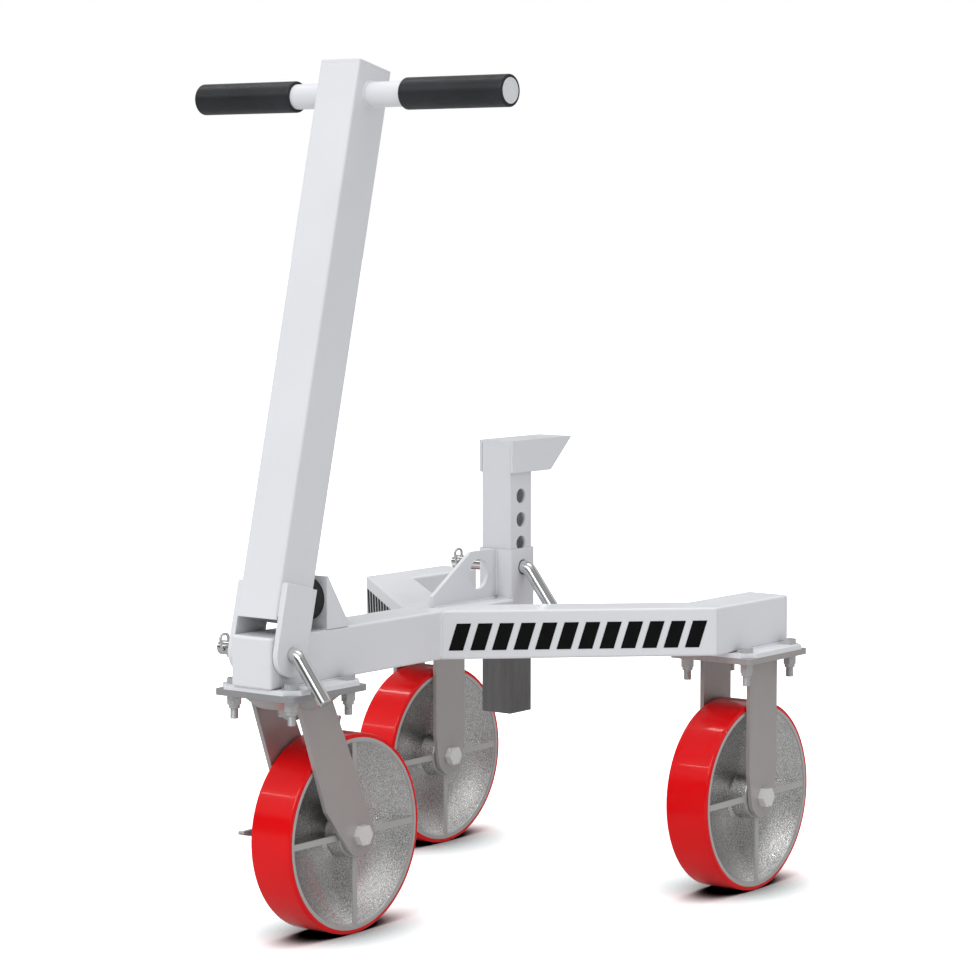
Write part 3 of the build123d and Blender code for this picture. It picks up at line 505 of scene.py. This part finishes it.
# ----------------------------------------------------------------------- floor
FLOOR_SEEN = (1.48, 1.52, 1.52, 1.0)
FLOOR_SEEN_LIGHT = (1.53, 1.57, 1.57, 1.0)
mesh = bmesh.new()
bmesh.ops.create_grid(mesh, x_segments=8, y_segments=8, size=40.0)
data = bpy.data.meshes.new("floor")
mesh.to_mesh(data)
mesh.free()
floor_shader = Shader("pale_floor", Roughness=1.0, Specular_IOR_Level=0.0)
paper = floor_shader.spread(floor_shader.noise(3.0), 0.3, 0.7, 0.0, 1.0)
rays = floor_shader.node("ShaderNodeLightPath").outputs
bounced = floor_shader.mix(rays["Is Glossy Ray"], grey(0.71), grey(0.38))
floor_shader.set("Base Color", floor_shader.scale(bounced, floor_shader.spread(paper, 0.0, 1.0, 0.98, 1.0)))
# Painted contact shadow: the floor seen by the camera darkens where it is occluded, close to the wheels and other
# low parts.
open_sky = floor_shader.node("ShaderNodeAmbientOcclusion", {"samples": 12}, Distance=0.16).outputs["AO"]
painted_contact_shadow = floor_shader.spread(open_sky, 0.36, 0.88, 0.0, 1.0)
seen_colour = floor_shader.scale(floor_shader.mix(paper, FLOOR_SEEN, FLOOR_SEEN_LIGHT), painted_contact_shadow)
overexposed = floor_shader.node("ShaderNodeBsdfDiffuse", Color=seen_colour)
either = floor_shader.node("ShaderNodeMixShader", _0=rays["Is Camera Ray"])
floor_shader.tree.links.new(floor_shader.bsdf.outputs[0], either.inputs[1])
floor_shader.tree.links.new(overexposed.outputs[0], either.inputs[2])
floor_shader.tree.links.new(either.outputs[0], floor_shader.tree.nodes["Material Output"].inputs[0])
data.materials.append(floor_shader.material)
floor = bpy.data.objects.new("floor", data)
scene.collection.objects.link(floor)

# ----------------------------------------------------------------------- light
world = bpy.data.worlds.new("studio")
scene.world = world
world.use_nodes = True
tree = world.node_tree
background = tree.nodes["Background"]
direction = tree.nodes.new("ShaderNodeTexCoord").outputs["Generated"]
height = tree.nodes.new("ShaderNodeSeparateXYZ")
tree.links.new(direction, height.inputs[0])


def gradient(stops):
    """A colour ramp from the horizon up."""
    ramp = tree.nodes.new("ShaderNodeValToRGB")
    tree.links.new(height.outputs[2], ramp.inputs[0])
    ramp.color_ramp.elements[0].position, ramp.color_ramp.elements[1].position = stops[0][0], stops[-1][0]
    ramp.color_ramp.elements[0].color = grey(stops[0][1])
    ramp.color_ramp.elements[1].color = grey(stops[-1][1], -0.01)
    for position, level in stops[1:-1]:
        ramp.color_ramp.elements.new(position).color = grey(level)
    return ramp.outputs[0]


def chosen(factor, otherwise, when_on):
    """The colour when_on for one kind of ray, and otherwise for the rest."""
    mixer = tree.nodes.new("ShaderNodeMix")
    mixer.data_type = "RGBA"
    tree.links.new(factor, mixer.inputs[0])
    tree.links.new(otherwise, mixer.inputs[6])
    if isinstance(when_on, tuple):
        mixer.inputs[7].default_value = when_on
    else:
        tree.links.new(when_on, mixer.inputs[7])
    return mixer.outputs[2]


rays = tree.nodes.new("ShaderNodeLightPath").outputs
soft_sky = gradient(((0.0, 0.20), (0.10, 0.10), (0.25, 0.40), (0.60, 0.84), (1.0, 1.06)))
studio = gradient((
    (0.0, 0.30), (0.05, 0.10), (0.22, 0.04), (0.30, 0.55), (0.55, 0.70), (0.75, 0.25), (1.0, 0.8),
))
lit_by = chosen(rays["Is Glossy Ray"], soft_sky, studio)
tree.links.new(chosen(rays["Is Camera Ray"], lit_by, (1.0, 1.0, 1.0, 1.0)), background.inputs[0])
background.inputs[1].default_value = 1.0


def area_light(name, place, target, size, power, colour=(1.0, 1.0, 1.0)):
    """A rectangular lamp at a place, facing a target."""
    light = bpy.data.lights.new(name, "AREA")
    light.shape = "RECTANGLE"
    light.size, light.size_y = size
    light.energy = power
    light.color = colour
    lamp = bpy.data.objects.new(name, light)
    lamp.location = place
    lamp.rotation_euler = (Vector(target) - Vector(place)).to_track_quat("-Z", "Y").to_euler()
    scene.collection.objects.link(lamp)


area_light("key", (0.5, -9.6, 8.2), (0, 0, 0.35), (6.0, 4.6), 500.0, (0.97, 0.985, 1.0))
area_light("top", (0.0, 1.3, 9.2), (0, 0, 0.3), (5.5, 5.5), 130.0)
area_light("low_strip", (-1.8, -1.9, 1.75), (-1.8, 0.2, 0.15), (2.6, 0.03), 3.0)
area_light("high_strip", (-3.0, 0.2, 3.6), (-3.0, 0.1, 0.0), (3.0, 0.16), 14.0)
area_light("back_glow", (3.4, 1.3, 1.3), (0.1, 0.0, 0.15), (0.24, 0.20), 6.0)

# ---------------------------------------------------------------------- camera
camera_data = bpy.data.cameras.new("camera")
camera_data.sensor_width = 36.0
camera_data.lens = 114.70
camera_data.clip_end = 200.0
camera = bpy.data.objects.new("camera", camera_data)
camera.location = (1.9939, -2.5639, 0.7172)
camera.rotation_euler = (radians(85.06), 0.0, radians(37.29))
scene.collection.objects.link(camera)
scene.camera = camera
scene.view_settings.view_transform = "Standard"
